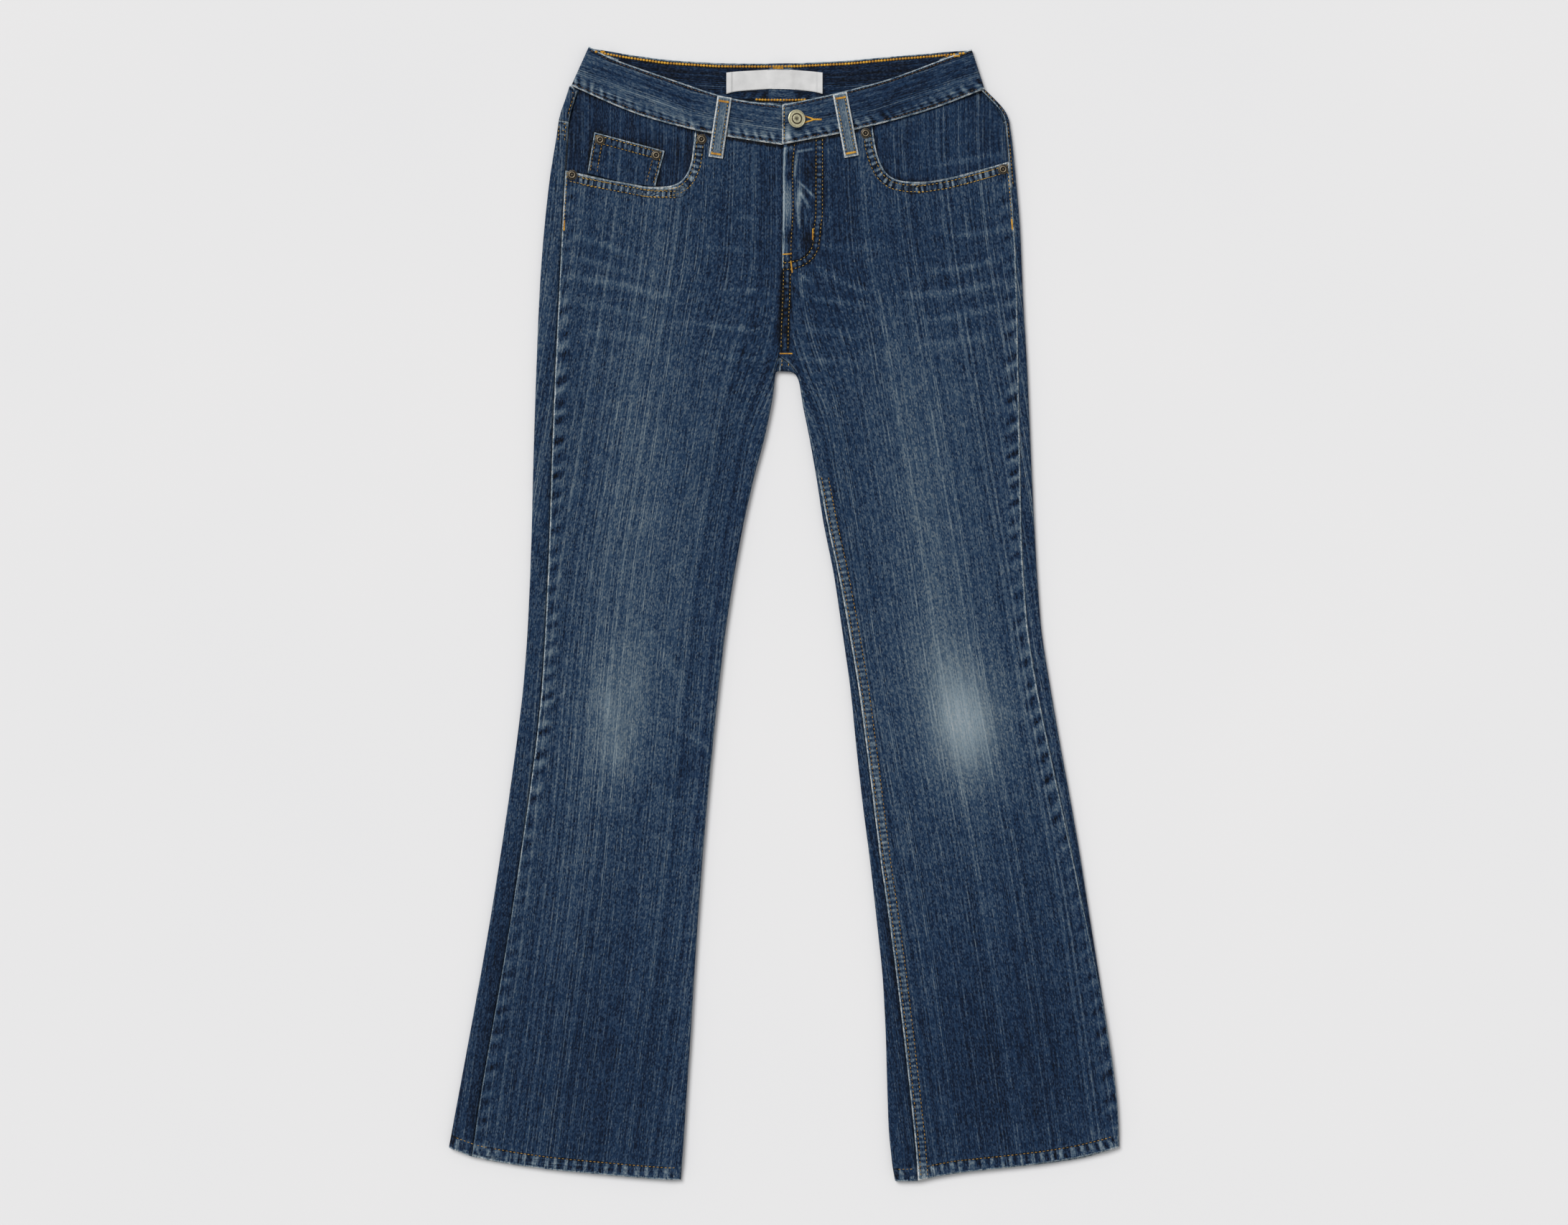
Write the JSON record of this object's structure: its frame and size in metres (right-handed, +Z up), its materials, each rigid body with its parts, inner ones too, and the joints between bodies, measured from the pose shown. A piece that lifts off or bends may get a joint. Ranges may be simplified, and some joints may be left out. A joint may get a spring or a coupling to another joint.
{
  "type": "flared jeans",
  "caption": "Flared denim jeans laid flat with the front up, with scooped front pockets, a coin pocket, belt loops, a buttoned waistband and turned-up hems.",
  "frame": {"origin": "on the surface it lies on, under the middle of the garment's outline", "axes": "+Y towards the waistband, +Z up off the surface on the front's side, +X towards the wearer's left"},
  "size_m": [0.6252, 1.0572, 0.0166],
  "materials": {
    "denim": "worn indigo denim, woven, matt",
    "denim_facing": "unworn dark indigo denim, matt",
    "label_cloth": "off-white woven tape",
    "antique_brass": "antique brass, worn bright on its edges",
    "antique_copper": "dark antique copper"
  },
  "bodies": {
    "root": {"front_left": "denim", "front_right": "denim", "back_left": "denim", "back_right": "denim", "yoke_left": "denim", "yoke_right": "denim", "waistband": "denim", "coin_pocket": "denim", "back_pocket_left": "denim", "back_pocket_right": "denim", "belt_loop_front_left": "denim", "belt_loop_front_right": "denim", "belt_loop_side_left": "denim", "belt_loop_side_right": "denim", "belt_loop_back": "denim", "pocket_facing_left": "denim_facing", "pocket_facing_right": "denim_facing", "label": "label_cloth", "button": "antique_brass", "rivet_left_inner": "antique_copper", "rivet_left_outer": "antique_copper", "rivet_right_inner": "antique_copper", "rivet_right_outer": "antique_copper", "rivet_coin_outer": "antique_copper", "rivet_coin_inner": "antique_copper"}
  },
  "joints": []
}
